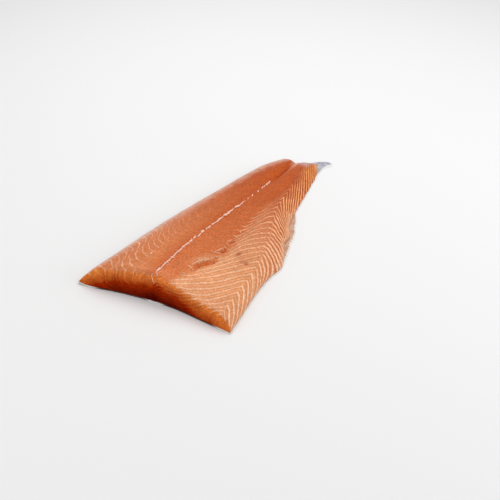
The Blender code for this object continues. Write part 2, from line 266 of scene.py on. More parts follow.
# Rings on the cut face, mm: the centre of the back half's rings and its depth, that of the belly half's
# rings, how many more rings lie close round the centre and how far they reach, and how many times a mm
# of depth counts on the belly half
RING_CENTRE_MM = 13.5
RING_DEPTH_MM = 11.2
BELLY_RING_MM = -9.0
RING_COUNT = 2.5
RING_REACH_MM = 17.0
BELLY_RING_FLATNESS = 1.8
# Darkness of the cut face at these shares of its depth, for the back half and the belly half, and a
# factor for it along y, mm. It is partly the cut flesh's deeper colour and partly painted shade, which
# grows towards the skin and under the middle line
DEPTH_SHARES = (0.0, 0.15, 0.30, 0.50, 0.70, 0.88, 1.0)
BACK_DARKNESS = (0.0, 0.03, 0.20, 0.42, 0.74, 0.95, 1.06)
BELLY_DARKNESS = (0.0, 0.06, 0.31, 0.46, 0.70, 0.90, 1.06)
DARKNESS_ALONG_Y = (
    (-80, 0.12), (-66, 0.28), (-56, 0.43), (-44, 0.52), (-34, 0.85), (-20, 1.00), (-8, 1.12), (3, 1.25),
    (12, 1.12), (24, 0.88), (34, 0.86), (46, 0.88), (58, 0.54), (66, 0.52), (74, 0.32), (84, 0.25),
)

# How far the lines wander, in long and in short waves, as shares of the distance between two
LONG_WANDER = 0.10
SHORT_WANDER = 0.06
# Relief of the flesh, mm: its large and small lumps, the lips of the tears, the groove at the tail, and
# how far all of it is lowered so that nothing rises above the solids
LARGE_LUMPS_MM = 0.16
SMALL_LUMPS_MM = 0.08
LIP_MM = 0.25
GROOVE_MM = 0.6
LOWERING_MM = 0.25
# How far the relief of a tear reaches from its middle, along x and y, mm
TEAR_REACH_MM = (34, 22)
# How far the skin's front edge is torn under the ridge, m, and the share of its thickness that is lost
# where it is bare
TORN_FRONT = 0.0014
THINNING = 0.6

# Where single marks lie, mm: each sets in between the first two places and ends between the last two
SOFT_TOP_OF_CUT_Y = (-4, 12, 50, 70)
FLAP_X = (-66, -46, 44, 66)
BORDER_X = (5, 45, 104, 128)
RED_PATCHES_X = (-130, -120, -96, -86)
NICKS_X = (40, 60, 146, 156)
TAIL_FILM_Y = (-4, 5, 15, 22)
TORN_SKIN_Y = (-9, -5, 11, 15)
PALE_SKIN_Y = (-8, -4, 10, 14)
# Reddish spots on the belly: x, y, reach along x and along y in mm, and strength
BRUISES_MM = (
    (-73.0, -35.6, 4.2, 2.0, 0.9),
    (-79.0, -44.2, 4.6, 2.8, 0.45),
    (-81.0, -48.8, 2.4, 1.7, 1.0),
)

# How finely the surfaces are drawn
ROWS_AT_CUT = 56
ROWS_ALONG = 346
ROWS_AT_TAIL = 18
COLUMNS_AT_EDGE = 44
COLUMNS_BETWEEN = 126
SKIN_ROWS = 420
SKIN_COLUMNS = 60
# Lines of points along the flesh's underside, with its two edges
UNDER_COLUMNS = 9
# Places along the path of a tear, and values along each side of a random field before it repeats
PATH_STEPS = 60
LATTICE = 64
# How often the sum for a line's station, and that for the flesh's grid, is repeated
SETTLING_STEPS = 24
GRID_STEPS = 6
# How far a strand's lower side lies under the flesh's top, m
STRAND_SINK = 0.0001

# Gloss of the top and of the cut face
TOP_GLOSS = 0.15
CUT_GLOSS = 0.01

# The camera as in the photograph: its place in m, where its right and up point, and its lens
CAMERA_PLACE = (-0.68730, -0.40747, 0.50266)
CAMERA_RIGHT = (0.51283, -0.85837, 0.01416)
CAMERA_UP = (0.47074, 0.29497, 0.83150)
LENS_MM = 63.94
SENSOR_MM = 36
FLOOR_HALF_WIDTH = 6.0
# Square lamps that face the middle: name, place and width in m, and the setting that holds the power
LAMPS = (
    ("key", (0.45, 0.25, 1.05), 1.0, "key_power"),
    ("belly_light", (0.25, -1.0, 0.55), 0.8, "side_power"),
    ("cut_light", (-1.1, 0.25, 0.50), 0.8, "front_power"),
)

# Colours mixed over the flesh in this order: the field, how much of it counts, and the colour's name
TOP_TINTS = (
    ("pale", 0.5, "belly"),
    ("edge_light", 0.12, "edge_light"),
    ("border", 0.6, "deep"),
    ("golden", 0.42, "golden"),
    ("deep", 0.8, "deep"),
    ("reddish", 0.5, "reddish"),
    ("groove", 0.9, "groove"),
    ("groove_lip", 0.8, "groove_lip"),
    ("back_film", 0.75, "back_film"),
    ("tail_film", 0.75, "tail_film"),
    ("membrane", 0.6, "membrane"),
)
# The tears' walls, and painted shade in the crease at their foot
TEAR_TINTS = (("torn", 0.70, "torn"), ("crack", 0.95, "crack"))
# How strongly the mottle changes red, green and blue
MOTTLE_POWERS = (0.95, 1.0, 1.15)


def linear(code):
    """Linear colour of a six-digit screen colour."""
    c = np.array([int(code[i : i + 2], 16) for i in (0, 2, 4)]) / 255
    return tuple(np.where(c <= 0.04045, c / 12.92, ((c + 0.055) / 1.055) ** 2.4))


def spline(places, values, at):
    """The smooth curve through values at the rising places, read at each place in at.

    Each span is a cubic whose slope at a knot is that of the parabola through the knot and its
    neighbours. Beyond the ends it runs on straight. values may hold an array for each place.
    """
    places = np.asarray(places, float)
    at = np.asarray(at, float)
    values = np.array([np.broadcast_to(value, at.shape) for value in values], float)
    spans = np.diff(places).reshape((-1,) + (1,) * at.ndim)
    chords = np.diff(values, axis=0) / spans
    slopes = np.concatenate(
        [
            chords[:1],
            (chords[:-1] * spans[1:] + chords[1:] * spans[:-1]) / (spans[:-1] + spans[1:]),
            chords[-1:],
        ]
    )
    inside = np.clip(at, places[0], places[-1])
    span = np.clip(np.searchsorted(places, inside, side="right") - 1, 0, len(places) - 2)
    length = np.diff(places)[span]
    t = (inside - places[span]) / length

    def pick(array, index):
        return np.take_along_axis(array, index[None], 0)[0]

    start, end = pick(values, span), pick(values, span + 1)
    start_slope, end_slope = pick(slopes, span) * length, pick(slopes, span + 1) * length
    curve = (
        start * (1 + 2 * t) * (1 - t) ** 2
        + start_slope * t * (1 - t) ** 2
        + end * t * t * (3 - 2 * t)
        - end_slope * t * t * (1 - t)
    )
    beyond = np.where(at < places[0], slopes[0], slopes[-1])
    return curve + beyond * (at - inside)


def along(knots, at):
    """The smooth curve through a list of (place, value) knots."""
    places, values = zip(*knots)
    return spline(places, values, at)


def rounded(distance, radius, squareness):
    """Height share of a rounded edge: 0 at its foot, 1 from one radius in, and upright at the foot."""
    inner = np.clip(1 - distance / radius, 0, 1)
    return (1 - inner**squareness) ** (1 / squareness)


def ease(low, high, value):
    """Smooth step: 0 below low, 1 above high, and a cubic between."""
    t = np.clip((value - low) / (high - low), 0, 1)
    return t * t * (3 - 2 * t)


def window(places, value):
    """1 between the middle two of four rising places, 0 outside the outer two, and eased between."""
    first, second, third, fourth = places
    return ease(first, second, value) * ease(fourth, third, value)


def bell(value, reach):
    """Bell curve: 1 at zero, and e to the minus 1 at the reach."""
    return np.exp(-((value / reach) ** 2))


def lumps(x, y, size, seed):
    """Smooth random field from -1 to 1: random values on a square lattice of this size, eased between."""
    lattice = np.random.default_rng(seed).uniform(-1, 1, (LATTICE, LATTICE))
    u, v = x / size, y / size
    i, j = np.floor(u).astype(int), np.floor(v).astype(int)
    fu, fv = ease(0, 1, u - i), ease(0, 1, v - j)
    i, j = i % LATTICE, j % LATTICE
    right, up = (i + 1) % LATTICE, (j + 1) % LATTICE
    a = lattice[i, j] * (1 - fu) + lattice[right, j] * fu
    b = lattice[i, up] * (1 - fu) + lattice[right, up] * fu
    return a * (1 - fv) + b * fv


def waves(at, size, seed):
    """Smooth random curve from -1 to 1: the random field along its first row."""
    return lumps(at, 0 * at, size, seed)


def seat(x, y):
    """Height of the skin's underside: flat on the table, curling up towards the back edge."""
    back = along(BACK_EDGE, x)
    run = CURL_RUN_SHARE * (back - along(BELLY_EDGE, x))
    inner = np.clip(1 - (back - y) / run, 0, None)
    return along(CURL_RISE, x) * inner**2


def full_height(x, y, share):
    """Thickness of the flesh before its four edges are rounded, less the groove of the middle line."""
    stations, rows = zip(*HEIGHTS)
    columns = [spline(stations, column, x) for column in zip(*rows)]
    groove = along(GROOVE_DEPTH, x) * bell(y - along(MIDDLE_LINE, x), GROOVE_HALF_WIDTH)
    return spline(SHARES, columns, share) - groove


def edge_factors(x, share):
    """Height shares of the rounded sides (belly times back) and of the rounded ends, in that order."""
    sides = rounded(share, along(BELLY_ROUND_SHARE, x), BELLY_SQUARENESS)
    sides = sides * rounded(1 - share, BACK_ROUND_SHARE, BACK_SQUARENESS)
    front = rounded(x - along(FRONT_CUT, share), along(FRONT_ROUND, share), FRONT_SQUARENESS)
    tail = rounded(along(TAIL_END, share) - x, TAIL_ROUND, TAIL_SQUARENESS)
    return sides, front, tail


def flesh_heights(x, y, share):
    """(height of the flesh's underside, height of its top before the relief) above the table."""
    sides, front, tail = edge_factors(x, share)
    base = seat(x, y) + SKIN_THICKNESS + LAYER_GAP
    return base, base + full_height(x, y, share) * sides * front * tail


def quarter_steps(count, squareness):
    """Places from 0 to 1 across a rounded edge, even along its curve: 1 less the power of a cosine."""
    turn = np.linspace(0, np.pi / 2, count + 1)
    return 1 - np.cos(turn) ** (2 / squareness)


def line_lead(share, station):
    """How far ahead of its point (mm) the line counted at this station lies, at a share across."""
    stations, rows = zip(*LINE_LEAD_MM)
    table = [BACK_LEAD_MM + row for row in rows]
    columns = [spline(stations, column, station) for column in zip(*table)]
    return spline(LINE_SHARES, columns, np.clip(share, -1, 1))


def line_phase(x, y, drop):
    """Running count of the fat line at a point (mm), whole on a line.

    The point's share across runs from the middle line to the line of chevron points. The station is
    the place x plus the lead of the line counted there, found by repeating that sum until it settles.
    A sharp peak at the points, ripples past them, a hook where the lines begin and a turn beside the
    cut are added to it. Near the cut, drop is how far the place lies below the point's height.
    """
    middle = 1000 * along(MIDDLE_LINE, x / 1000)
    point = along(POINT_LINE_MM, x)
    back = 1000 * along(BACK_EDGE, x / 1000)
    share = np.where(y < middle, (middle - y) / (middle - point), (middle - y) / (back - middle))
    past = np.clip(point - y, 0, None)
    past = past + drop * ease(0, 6, past) * ease(-55, -85, x)
    above = np.clip(along(SMOOTH_BAND_MM, x) + 1 - (middle - y), 0, 10) * ease(-1, 6, middle - y)
    ripple = np.sin(2 * np.pi * (past + 0.8 * lumps(x, y, 9, 11)) / RIPPLE_LENGTH_MM) * ease(0, 4, past)
    turn = RIPPLE_MM * ripple * (0.35 + 0.45 * ease(-40, -12, x) * ease(50, 20, x))
    turn = turn - POINT_REACH_MM * np.exp(-np.abs(y - point) / POINT_SPREAD_MM) - HOOK_BEND * above**2
    near_cut = 4.0 * ease(-112, -148, x) * ease(-0.35, -0.62, share)
    turned = np.clip((TURN_START_MM - x) / TURN_REACH_MM, 0, 1.3) ** 2
    near_cut = near_cut + TURN_SHIFT_MM * turned * ease(0.05, 0.30, share) * ease(4, 0, past)
    station = x + 0.0
    for _ in range(SETTLING_STEPS):
        lead = line_lead(share, station) - near_cut + turn
        lead = lead + along(RETURN_SLOPE, station) * past + along(RETURN_BEND, station) * past**2
        station = 0.4 * station + 0.6 * (x + lead)
    return along(LINE_COUNT, station)


def cut_phase(x, y, depth):
    """Count of the line on the cut face: the top's count at the place where the ring comes up.

    On the back half the rings are ovals, closer on their inner and lower sides, with a few more of them
    round the centre. On the belly half they are half ovals under the top, mixed near the middle with a
    count that falls slowly down the seam.
    """
    aside = y - RING_CENTRE_MM
    aside = np.where(aside < 0, -aside * (1.05 + 0.95 * ease(2, 9, -aside)), aside)
    deep = depth - RING_DEPTH_MM
    deep = np.where(deep > 0, 1.15 + 1.25 * ease(2, 9, deep), 1.0) * deep
    reach = np.hypot(aside, deep)
    back = line_phase(x, RING_CENTRE_MM + reach, 0 * y)
    back = back + RING_COUNT * np.clip(1 - reach / RING_REACH_MM, 0, None)
    under = np.hypot(np.clip(BELLY_RING_MM - y, 0, None), BELLY_RING_FLATNESS * depth)
    belly = line_phase(x, BELLY_RING_MM - under, 0 * y)
    lift = np.clip((y - BELLY_RING_MM) / 13.5, 0, 1) ** 1.5
    belly = belly * (1 - lift) + (6 - depth / 17) * lift
    half = ease(3.0, 6.5, y)
    return back * half + belly * (1 - half)


def path_place(x, y, points):
    """(place from 0 to 1, signed distance to the left, distance beyond the ends) along a smooth path.

    They are taken at the nearest of evenly spread places on the path.
    """
    points = np.array(points, float)
    knots = np.linspace(0, 1, len(points))
    t = np.linspace(0, 1, PATH_STEPS)
    px, py = spline(knots, points[:, 0], t), spline(knots, points[:, 1], t)
    gap = np.hypot(x[..., None] - px, y[..., None] - py)
    near = gap.argmin(-1)
    dx, dy = np.gradient(px), np.gradient(py)
    length = np.hypot(dx, dy)
    ax, ay = x - px[near], y - py[near]
    left = (-dy[near] * ax + dx[near] * ay) / length[near]
    ahead = (dx[near] * ax + dy[near] * ay) / length[near]
    beyond = np.where((near == 0) | (near == len(t) - 1), np.abs(ahead), 0)
    return t[near], left, beyond


def tear_relief(x, y):
    """(lowering as a share of the deepest, torn share, share of painted shade in the crease at the foot, lip
    share) of the tears.

    Across a tear the surface drops within 1 mm at its foot line and climbs back along the torn wall on
    the back side, to a lip that is a little raised. Its foot line wavers, and it narrows to both ends.
    """
    lowering, torn, crack, lip = np.zeros((4,) + x.shape)
    for number, (points, depth, wall) in enumerate(TEARS_MM):
        centre_x, centre_y = np.mean(points, 0)
        near = (np.abs(x - centre_x) < TEAR_REACH_MM[0]) & (np.abs(y - centre_y) < TEAR_REACH_MM[1])
        place, left, beyond = path_place(x[near], y[near], points)
        left = left + 0.8 * waves(place * 30, 2.1, 20 + number)
        size = np.sin(np.pi * (0.08 + 0.84 * place)) * ease(2.5, 0, beyond)
        ragged = wall * (1 + 0.28 * waves(place * 30, 1.7, 30 + number)) * (0.35 + 0.65 * size)
        profile = ease(-0.7, 0.3, left) * (1 - ease(0.3, 1.0, left / ragged))
        foot = bell(left - 0.1, 0.55)
        lowering[near] += depth * size * profile
        torn[near] = np.maximum(torn[near], profile * ease(0.1, 0.6, size))
        # Painted shade along the foot line
        crack[near] = np.maximum(crack[near], foot * ease(0.3, 0.8, size))
        lip[near] = np.maximum(lip[near], size * bell(left - ragged - 0.5, 0.7))
    return lowering, torn, crack, lip


def cut_tones(y, foot):
    """(darkness, lightening of the thin tip, strength of the rings) of the cut face.

    The darkness follows the depth's share of the height, by a curve for each half, times a factor
    along y; it is partly the cut flesh's deeper colour and partly painted shade. The tip is the last 20
    mm towards the back. The rings fade with depth and near the middle.
    """
    half = ease(0, 9, y)
    back = spline(DEPTH_SHARES, BACK_DARKNESS, foot)
    belly = spline(DEPTH_SHARES, BELLY_DARKNESS, foot)
    dark = (back * half + belly * (1 - half)) * along(DARKNESS_ALONG_Y, y)
    tip = ease(54, 74, y) * ease(0.75, 0.2, foot)
    ring = 0.14 + 0.66 * ease(0.90, 0.15, foot)
    ring = ring * (1 - 0.9 * bell(y - 4.6, 2.2) * ease(0.25, 0.45, foot))
    ring = ring * (0.62 + 0.38 * np.maximum(ease(-22, -45, y), ease(16, 40, y)))
    return np.clip(dark, 0, 1.4), tip, ring


def bruises(x, y):
    """Strength of the reddish spots, each a bell curve of its distances over its own reaches."""
    total = 0 * x
    for at_x, at_y, reach_x, reach_y, strength in BRUISES_MM:
        total = total + strength * bell(x - at_x, reach_x) * bell(y - at_y, reach_y)
    return np.clip(total, 0, 1)


def reddened(x, beside):
    """Share of a redder tint along the line of pin bones: a band just above it and patches below it."""
    above = bell(beside - 2.0, 1.2) * (0.5 * ease(-60, -90, x) + 0.35)
    below = bell(beside + 3.4, 1.8) * window(RED_PATCHES_X, x)
    below = below * (0.6 + 0.6 * lumps(x, beside, 5, 13))
    return np.clip((above + 0.8 * below) * ease(84, 70, x), 0, 1)


def line_masks(x, y, phase, rim):
    """(strength, closeness, share of the divided arms) of the fat lines on the top, in mm.

    Each line sets in at the border of the smooth band, at a place of its own. Lines are faint on the
    back half, and close and strong past their points and towards the tail.
    """
    below = 1000 * along(MIDDLE_LINE, x / 1000) - y
    above_point = y - along(POINT_LINE_MM, x)
    past_band = below - along(SMOOTH_BAND_MM, x)
    start = past_band + 4.5 * np.sin(12.99 * np.round(phase))
    lined = ease(-2, 5 + 6 * ease(30, 70, x), start) * (0.56 + 0.44 * ease(0, 0.2, rim))
    lined = lined + 0.45 * bell(start - 1, 3)
    lined = lined + 0.25 * bell(above_point, 3) * ease(-2, 5, start)
    back_side = ease(12, 26, -below) * ease(10, -110, x) * (0.55 + 0.45 * ease(20, 40, -below))
    faint = 0.05 + 0.05 * lumps(x, y, 12, 4)
    strength = lined * ease(160, 125, x + 0.3 * below) + 0.66 * back_side + faint
    strength = strength * (0.85 + 0.2 * lumps(x, y, 8, 5))
    upper = ease(0.5, 3.5, above_point) * ease(5, 35, x)
    dense = np.maximum(
        ease(15, 50, x) * ease(-12, 2, past_band), ease(0.04, 0.25, rim) * ease(-95, -50, x)
    )
    dense = dense * (1 - upper)
    closer = (0.82 - 0.44 * ease(45, 110, x)) * dense * lined
    strength = np.clip(np.maximum(strength * (1 - 0.5 * upper), closer), 0, 1)
    return strength, dense, window(ARM_COUNTS, phase) * ease(0.03, 0.16, rim)


def flesh_fields(x, y, share, sizes):
    """Everything that depends on the place on the flesh: relief in mm, and the masks for its colours.

    The relief is the steps between flakes, which rise along the count of the lines and fall back at
    each line, with soft lumps, the tears and the groove at the tail.
    """
    mx, my = 1000 * x, 1000 * y
    sides, front, _ = edge_factors(x, share)
    whole = 1000 * full_height(x, y, share) * sides
    depth = whole * (1 - front)
    foot = depth / np.maximum(whole, 1e-6)
    belly_y = 1000 * along(BELLY_EDGE, x)
    back_y = 1000 * along(BACK_EDGE, x)
    point = along(POINT_LINE_MM, mx)
    point_share = np.clip((point - belly_y) / (back_y - belly_y), 0, 1)
    drop = np.clip(1000 * full_height(x, point / 1000, point_share) - whole, 0, None)
    wander = LONG_WANDER * lumps(mx, my, 17, 1) + SHORT_WANDER * lumps(mx, my, 6, 2)
    phase = line_phase(mx, my, drop) + wander
    soft = window(SOFT_TOP_OF_CUT_Y, my)
    saw = phase - np.floor(phase)
    overhang = 1.3 * (1 - soft) * ease(0.0, 0.5, saw) * ease(1.0, 0.6, saw)
    cut = ease(1.2 - overhang + 1.2 * soft, 3.0 - overhang + 2.8 * soft, depth)
    at_cut = depth > 0
    ringed = cut_phase(mx[at_cut], my[at_cut], depth[at_cut]) + wander[at_cut]
    phase[at_cut] += (ringed - phase[at_cut]) * ease(0.0, 4.0, depth[at_cut])

    below = 1000 * along(MIDDLE_LINE, x) - my
    past_band = below - along(SMOOTH_BAND_MM, mx)
    striped = ease(-6, 7, past_band + 3 * lumps(mx, my, 9, 3))
    past = np.clip(point - my, 0, None)
    rim = np.clip((past + drop * ease(0, 6, past)) / RIM_MM, 0, 1)
    strength, dense, arms = line_masks(mx, my, phase, rim)
    lowering, torn, crack, lip = tear_relief(mx, my)
    step = phase - np.floor(phase)
    step = step - ease(0.80, 1.0, step)
    beside = my - along(PIN_PATH_MM, mx)
    groove = bell(beside, 0.9) * ease(76, 96, mx)
    relief = -1000 * sizes.flake_step * step * (striped * (1 - cut) * (1 - 0.6 * dense) + 0.5 * cut)
    relief = relief + LARGE_LUMPS_MM * lumps(mx, my, 15, 6) + SMALL_LUMPS_MM * lumps(mx, my, 5, 7)
    relief = relief - 1000 * sizes.tear_depth * lowering + LIP_MM * lip - GROOVE_MM * groove
    dark, tip, ring = cut_tones(my, foot)
    film = along(FILM_AND_SHEEN_START, mx)
    flap = np.maximum(window(FLAP_X, mx), ease(138, 150, mx))
    membrane = ease(6, 0.5, my - belly_y + 2.5 * lumps(mx, my, 5, 8)) * (0.15 + 0.85 * flap)
    # Paler flesh beside the cut, with a painted highlight along the edge
    edge_light = ease(26, 5, mx - 1000 * along(FRONT_CUT, share))
    lip_reach = 1.3 + 2.2 * ease(112, 142, mx)
    return {
        "relief": relief,
        "line_phase": phase,
        "line_strength": strength,
        "striped": striped,
        "cut": cut,
        # The cut face's darkening by depth: partly its deeper colour, partly painted shade
        "cut_dark": dark + 0.07 * lumps(my, depth, 5, 9) + 0.05 * lumps(my, depth, 2.2, 10),
        "cut_tip": tip,
        "cut_foot": foot,
        "ring": ring,
        "torn": torn,
        "crack": crack,
        "lip": lip,
        # The film along the back edge, with a painted sheen over it
        "back_film": ease(film - 0.09, film + 0.07, share + 0.02 * lumps(mx, my, 6, 12)),
        "rim": rim,
        "membrane": membrane * (1 - cut),
        "tailward": ease(-130, 110, mx),
        "groove": groove,
        "arm_count": ARM_SHARE * phase,
        "arms": arms * (1 - cut),
        "half_lines": 0.9 * cut * ease(-58, -38, my),
        "fine": ease(4, 18, -below) * (1 - cut),
        "dense": dense * (1 - cut),
        "edge_light": edge_light * (0.5 + 0.5 * ease(-30, 0, my) * ease(62, 48, my)),
        "border": bell(past_band + 4, 3.6) * window(BORDER_X, mx),
        "pale": bell(mx + 104, 13) * bell(my + 13 + 0.35 * (mx + 104), 4.0),
        "golden": ease(108, 136, mx) * ease(4, -6, my),
        # Deep orange beside the pin bone line, stronger towards the tail, where it is partly painted shade on
        # the back lobe's slope into the groove
        "deep": bell(beside - 4.0, 3.6) * (0.25 + 0.75 * ease(-70, 20, mx)),
        "reddish": reddened(mx, beside),
        "bruise": bruises(mx, my),
        # The groove's pale lip, partly pale film and partly painted light on its lit edge
        "groove_lip": ease(84, 118, mx) * bell(beside + 2.6, lip_reach),
        "tail_film": ease(131, 145, mx) * window(TAIL_FILM_Y, my),
        "below_middle": below,
    }


def grid_index(shape, start=0):
    """The numbers of a grid's points, counted row by row from start."""
    return start + np.arange(shape[0] * shape[1]).reshape(shape)


def grid_faces(index):
    """Four-sided faces over a grid of point numbers, facing up where rows run to +X and columns to +Y."""
    corners = [index[:-1, :-1], index[1:, :-1], index[1:, 1:], index[:-1, 1:]]
    return np.stack(corners, -1).reshape(-1, 4)


def grid_normals(points):
    """Unit normals of a grid of points, from the cross product of its differences along both ways."""
    across = np.cross(np.gradient(points, axis=0), np.gradient(points, axis=1))
    return across / np.maximum(np.linalg.norm(across, axis=-1, keepdims=True), 1e-12)


def piece(name, points, faces, fields, materials, node=None):
    """A smooth mesh object with a float attribute for each field, which stands for the node."""
    mesh = bpy.data.meshes.new(name)
    mesh.from_pydata(points, [], faces)
    for key, values in fields.items():
        layer = mesh.attributes.new(key, "FLOAT", "POINT")
        layer.data.foreach_set("value", np.asarray(values, np.float32).ravel())
    mesh.shade_smooth()
    for material in materials:
        mesh.materials.append(material)
    made = bpy.data.objects.new(name, mesh)
    bpy.context.scene.collection.objects.link(made)
    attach(made, "root")
    if node:
        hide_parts(node)
    return made


def flesh_grid(sizes):
    """x, y and share of the points of the flesh's upper face: rows to the tail, columns to the back.

    Towards the tail small nicks push the belly edge inwards.
    """
    even = np.linspace(0, 1, COLUMNS_AT_EDGE + COLUMNS_BETWEEN + COLUMNS_AT_EDGE + 1)
    front_share = quarter_steps(COLUMNS_AT_EDGE, BELLY_SQUARENESS)
    back_share = quarter_steps(COLUMNS_AT_EDGE, BACK_SQUARENESS)[::-1]
    t_front = quarter_steps(ROWS_AT_CUT, FRONT_SQUARENESS)[:, None]
    t_tail = quarter_steps(ROWS_AT_TAIL, TAIL_SQUARENESS)[::-1, None]
    between = np.linspace(0, 1, ROWS_ALONG + 1)[1:-1, None]
    share = even[None, :] + np.zeros((ROWS_AT_CUT + ROWS_ALONG + ROWS_AT_TAIL + 1, 1))
    x = share * 0
    for _ in range(GRID_STEPS):
        first, last = ROWS_AT_CUT + 1, -ROWS_AT_TAIL - 1
        cut_share, tail_share = share[:first], share[last:]
        x[:first] = along(FRONT_CUT, cut_share) + along(FRONT_ROUND, cut_share) * t_front
        x[last:] = along(TAIL_END, tail_share) - TAIL_ROUND * t_tail
        start, end = x[first - 1], x[last]
        x[first:last] = start + (end - start) * between
        belly_round = along(BELLY_ROUND_SHARE, x[:, :1])
        middle = np.linspace(0, 1, COLUMNS_BETWEEN + 1)[1:-1]
        middle = belly_round + (1 - BACK_ROUND_SHARE - belly_round) * middle
        share = np.concatenate(
            [belly_round * front_share, middle, 1 - BACK_ROUND_SHARE * back_share + 0 * belly_round], 1
        )
    belly = along(BELLY_EDGE, x)
    y = belly + (along(BACK_EDGE, x) - belly) * share
    mx = 1000 * x
    nick = np.clip(waves(mx, 6.5, 51), 0, 1) + 0.6 * np.clip(waves(mx, 2.6, 52), 0, 1)
    nick = nick * window(NICKS_X, mx) * ease(0.16, 0.0, share)
    return x, y + sizes.nick * nick, share


def flesh_surface(sizes):
    """(points, faces, fields) of the flesh.

    The upper face is the seat plus the skin, the gap and the full height times its rounded edges, then
    moved along its normal by the relief. The underside follows the skin in a few wide columns, and
    many-sided faces join it to the rim at both ends.
    """
    x, y, share = flesh_grid(sizes)
    base, z = flesh_heights(x, y, share)
    fields = flesh_fields(x, y, share, sizes)
    points = np.stack([x, y, z], -1)
    relief = fields.pop("relief")
    rim = ease(0.0, 2.5, 1000 * (z - base)) * ease(0.0, 0.02, share) * ease(0.0, 0.02, 1 - share)
    moved = np.minimum(relief - LOWERING_MM, 0.0) * rim / 1000
    points = points + grid_normals(points) * moved[..., None]
    index = grid_index(x.shape)
    low = np.linspace(0, x.shape[1] - 1, UNDER_COLUMNS).astype(int)
    under = np.stack([x, y, base], -1)[1:-1, low[1:-1]]
    under_index = grid_index(under.shape[:2], index.size)
    strip = np.concatenate([index[1:-1, :1], under_index, index[1:-1, -1:]], 1)
    faces = grid_faces(index).tolist() + grid_faces(strip.T).tolist()
    for k in range(len(low) - 1):
        run = slice(low[k], low[k + 1] + 1)
        faces.append([*index[0, run], strip[0, k + 1], strip[0, k]])
        faces.append([*index[-1, run][::-1], strip[-1, k], strip[-1, k + 1]])
    faces = [list(dict.fromkeys(int(i) for i in face)) for face in faces]
    points = np.concatenate([points.reshape(-1, 3), under.reshape(-1, 3)])
    rest = np.zeros(under_index.size)
    fields = {key: np.concatenate([value.ravel(), rest]) for key, value in fields.items()}
    return points, faces, fields


def skin_grid(sizes):
    """x, y and share of the points of the skin: a sheet that reaches a little beyond the flesh.

    Its belly edge is frayed along the middle of the fillet, and its front edge is torn under the ridge.
    """
    even = np.linspace(0, 1, SKIN_COLUMNS + 1)
    share = even - 0.6 * np.sin(2 * np.pi * even) / (2 * np.pi)
    across = 162 * share - 81.5
    torn = (0.6 + 0.4 * waves(across, 2.6, 44)) * window(TORN_SKIN_Y, across)
    front = along(FRONT_CUT, share) - SKIN_OVERHANG - TORN_FRONT * torn
    end = along(TAIL_SKIN_END, share)
    x = front + (end - front) * np.linspace(0, 1, SKIN_ROWS + 1)[:, None]
    centre, reach = (FRAYED[0] + FRAYED[1]) / 2, (FRAYED[1] - FRAYED[0]) / 2
    fading = np.clip(1 - ((x - centre) / reach) ** 2, 0, 1)
    mx = 1000 * x
    ragged = waves(mx, 2.3, 41) + 0.65 * waves(mx, 0.9, 42) + 0.4
    belly = along(SKIN_BELLY_EDGE, x) + sizes.fraying * fading * ragged
    belly = belly + (0.12 * waves(mx, 3, 43) + 0.1) / 1000
    back = along(BACK_EDGE, x) + SKIN_OVERHANG
    share = np.broadcast_to(share, x.shape)
    return x, belly + (back - belly) * share, share


def skin_surface(sizes):
    """(points, faces, fields) of the skin: two grids, the lower on the seat, the upper a thickness above it.

    The thickness falls to two fifths towards the belly edge and the tail, where the skin is bare.
    """
    x, y, share = skin_grid(sizes)
    bare = np.clip((along(BELLY_EDGE, x) - y + 0.002) / 0.004, 0, 1)
    thickness = SKIN_THICKNESS * (1 - THINNING * np.maximum(bare, ease(0.146, 0.160, x)))
    lower = np.stack([x, y, seat(x, y)], -1)
    upper = lower + np.stack([0 * x, 0 * x, thickness], -1)
    index = grid_index(x.shape)
    count = index.size
    rim = np.concatenate([index[0, :-1], index[:-1, -1], index[-1, :0:-1], index[:0:-1, 0]])
    ahead = np.roll(rim, -1)
    wall = np.stack([rim, ahead, ahead + count, rim + count], -1)
    faces = np.concatenate([grid_faces(index), grid_faces(index + count)[:, ::-1], wall])
    points = np.concatenate([upper.reshape(-1, 3), lower.reshape(-1, 3)])
    from_belly = 1000 * (y - y[:, :1]) / 4.0
    from_tail = 1000 * (along(TAIL_SKIN_END, share) - x) / 2.0
    my = 1000 * y
    sides = {
        "free_edge": np.clip(np.minimum(from_belly, np.where(x > 0.14, from_tail, 1)), 0, 1),
        # Rows at the skin's edge under the cut face, which are painted dark as shade
        "front_edge": ease(2.0, 0.6, 1000 * (x - x[:1])),
        "front_pale": np.maximum(window(PALE_SKIN_Y, my), np.maximum(ease(58, 68, my), ease(-60, -70, my))),
        "tail_skin": ease(0.135, 0.155, x),
        "toward_back": share,
    }
    fields = {key: np.tile(values.ravel(), 2) for key, values in sides.items()}
    fields["outer_side"] = np.repeat([0.0, 1.0], count)
    return points, faces.tolist(), fields


def strand(x, y, half_width, rise):
    """(points, faces) of a flat strand lying on the flesh along x, y: a half oval across, closed below.

    All four are in mm. Across the strand, angle a runs from 0 to pi: half width times the cosine aside,
    rise times the sine up, but no higher than the solids. It is carried along the path with its own
    width and rise at each place.
    """
    x, y, half_width, rise = (values / 1000 for values in (x, y, half_width, rise))
    angle = np.linspace(0, np.pi, 7)
    belly = along(BELLY_EDGE, x)
    _, z = flesh_heights(x, y, (y - belly) / (along(BACK_EDGE, x) - belly))
    dx, dy = np.gradient(x), np.gradient(y)
    length = np.hypot(dx, dy)
    aside = half_width[:, None] * np.cos(angle)
    px = x[:, None] - (dy / length)[:, None] * aside
    py = y[:, None] + (dx / length)[:, None] * aside
    pz = np.minimum(z[:, None] + rise[:, None] * np.sin(angle) - STRAND_SINK, FRAME_BOX[1][2])
    index = grid_index(px.shape)
    faces = grid_faces(index).tolist() + grid_faces(index[:, [0, -1]].T).tolist()
    faces += [index[0].tolist(), index[-1, ::-1].tolist()]
    return np.stack([px, py, pz], -1).reshape(-1, 3), faces


